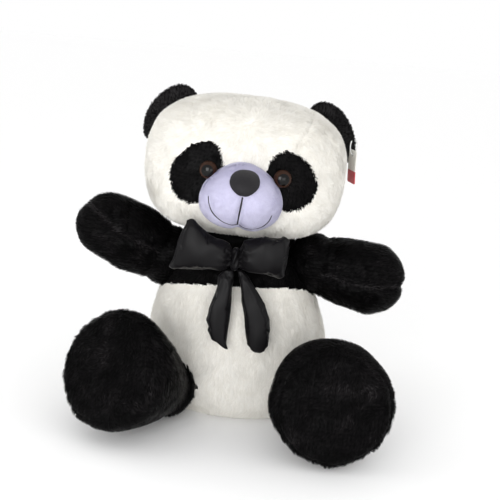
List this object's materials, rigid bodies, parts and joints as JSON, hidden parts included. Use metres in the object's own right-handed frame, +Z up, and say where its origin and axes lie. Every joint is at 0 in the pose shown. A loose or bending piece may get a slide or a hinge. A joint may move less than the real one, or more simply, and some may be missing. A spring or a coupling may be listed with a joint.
{
  "type": "sitting plush panda",
  "caption": "Sitting plush panda with stuffed head, body and limbs, black ears and eye patches, a padded satin neck bow and a blank hang tag.",
  "frame": {"origin": "on the plane the panda sits on, under its neck, at the middle of the trunk's flat seat", "axes": "+Z up, -Y the way the panda faces, +X towards the panda's own left arm"},
  "size_m": [0.3579, 0.2746, 0.3448],
  "materials": {
    "white_plush": "brushed long pile",
    "black_plush": "brushed long pile",
    "sole_plush": "brushed pile",
    "stuffing": "loose fibre",
    "muzzle_velour": "short smooth pile",
    "nose_cloth": "matt",
    "bow_satin": "satin",
    "thread": "matt",
    "eye_plastic": "polished",
    "nylon": "satin",
    "tag_card": "matt"
  },
  "bodies": {
    "torso": {"body_skin": "white_plush", "yoke_skin": "black_plush", "body_stuffing": "stuffing"},
    "neck": {"neck_stuffing": "stuffing", "bow_knot": "bow_satin", "bow_left_loop": "bow_satin", "bow_right_loop": "bow_satin"},
    "head": {"head_skin": "white_plush", "head_stuffing": "stuffing", "left_eye_patch": "black_plush", "right_eye_patch": "black_plush", "left_eye": "eye_plastic", "right_eye": "eye_plastic", "left_eye_washer": "nylon", "right_eye_washer": "nylon", "muzzle_skin": "muzzle_velour", "muzzle_stuffing": "stuffing", "nose": "nose_cloth", "lip_stitch": "thread", "left_smile_stitch": "thread", "right_smile_stitch": "thread", "tag_loop": "nylon"},
    "left_ear": {"left_ear_cover": "black_plush", "left_ear_filling": "stuffing"},
    "right_ear": {"right_ear_cover": "black_plush", "right_ear_filling": "stuffing"},
    "left_arm": {"left_arm_skin": "black_plush", "left_arm_stuffing": "stuffing"},
    "right_arm": {"right_arm_skin": "black_plush", "right_arm_stuffing": "stuffing"},
    "left_leg": {"left_leg_skin": "black_plush", "left_leg_stuffing": "stuffing", "left_sole": "sole_plush"},
    "right_leg": {"right_leg_skin": "black_plush", "right_leg_stuffing": "stuffing", "right_sole": "sole_plush"},
    "left_tail": {"bow_left_tail": "bow_satin"},
    "right_tail": {"bow_right_tail": "bow_satin"},
    "tag": {"tag_card": "tag_card"}
  },
  "joints": [
    {"name": "neck_turn", "type": "hinge", "parent": "torso", "child": "neck", "pos_m": [-0.001, 0, 0.193], "axis": [0, 0, 1], "range_deg": [-15, 15], "stiffness_Nm_per_rad": 3},
    {"name": "head_nod", "type": "hinge", "parent": "neck", "child": "head", "pos_m": [-0.001, 0, 0.193], "axis": [1, 0, 0], "range_deg": [-12, 3], "stiffness_Nm_per_rad": 3},
    {"name": "left_ear_flop", "type": "hinge", "parent": "head", "child": "left_ear", "pos_m": [0.08538, 0.022, 0.307], "axis": [-0.7193, 0, 0.6947], "range_deg": [-15, 15], "stiffness_Nm_per_rad": 0.1},
    {"name": "right_ear_flop", "type": "hinge", "parent": "head", "child": "right_ear", "pos_m": [-0.08322, 0.022, 0.31289], "axis": [0.766, 0, 0.6428], "range_deg": [-15, 15], "stiffness_Nm_per_rad": 0.1},
    {"name": "left_arm_lift", "type": "hinge", "parent": "torso", "child": "left_arm", "pos_m": [0.083, -0.008, 0.162], "axis": [0, -1, 0], "range_deg": [-9, 30], "stiffness_Nm_per_rad": 1},
    {"name": "right_arm_lift", "type": "hinge", "parent": "torso", "child": "right_arm", "pos_m": [-0.079, -0.008, 0.1575], "axis": [0, 1, 0], "range_deg": [-34, 5], "stiffness_Nm_per_rad": 1},
    {"name": "left_leg_spread", "type": "hinge", "parent": "torso", "child": "left_leg", "pos_m": [0.104, -0.066, 0.053], "axis": [0, 0, 1], "range_deg": [-8, 12], "stiffness_Nm_per_rad": 2},
    {"name": "right_leg_spread", "type": "hinge", "parent": "torso", "child": "right_leg", "pos_m": [-0.064, -0.08, 0.032], "axis": [0, 0, -1], "range_deg": [-8, 10], "stiffness_Nm_per_rad": 2},
    {"name": "left_tail_swing", "type": "hinge", "parent": "neck", "child": "left_tail", "pos_m": [0.0038, -0.093, 0.167], "axis": [-1, 0, 0], "range_deg": [0, 50]},
    {"name": "right_tail_swing", "type": "hinge", "parent": "neck", "child": "right_tail", "pos_m": [-0.0074, -0.093, 0.167], "axis": [-1, 0, 0], "range_deg": [0, 50]},
    {"name": "tag_swing", "type": "hinge", "parent": "head", "child": "tag", "pos_m": [0.1145, 0.002, 0.284], "axis": [0.9703, 0.2419, 0], "range_deg": [-35, 35]}
  ]
}
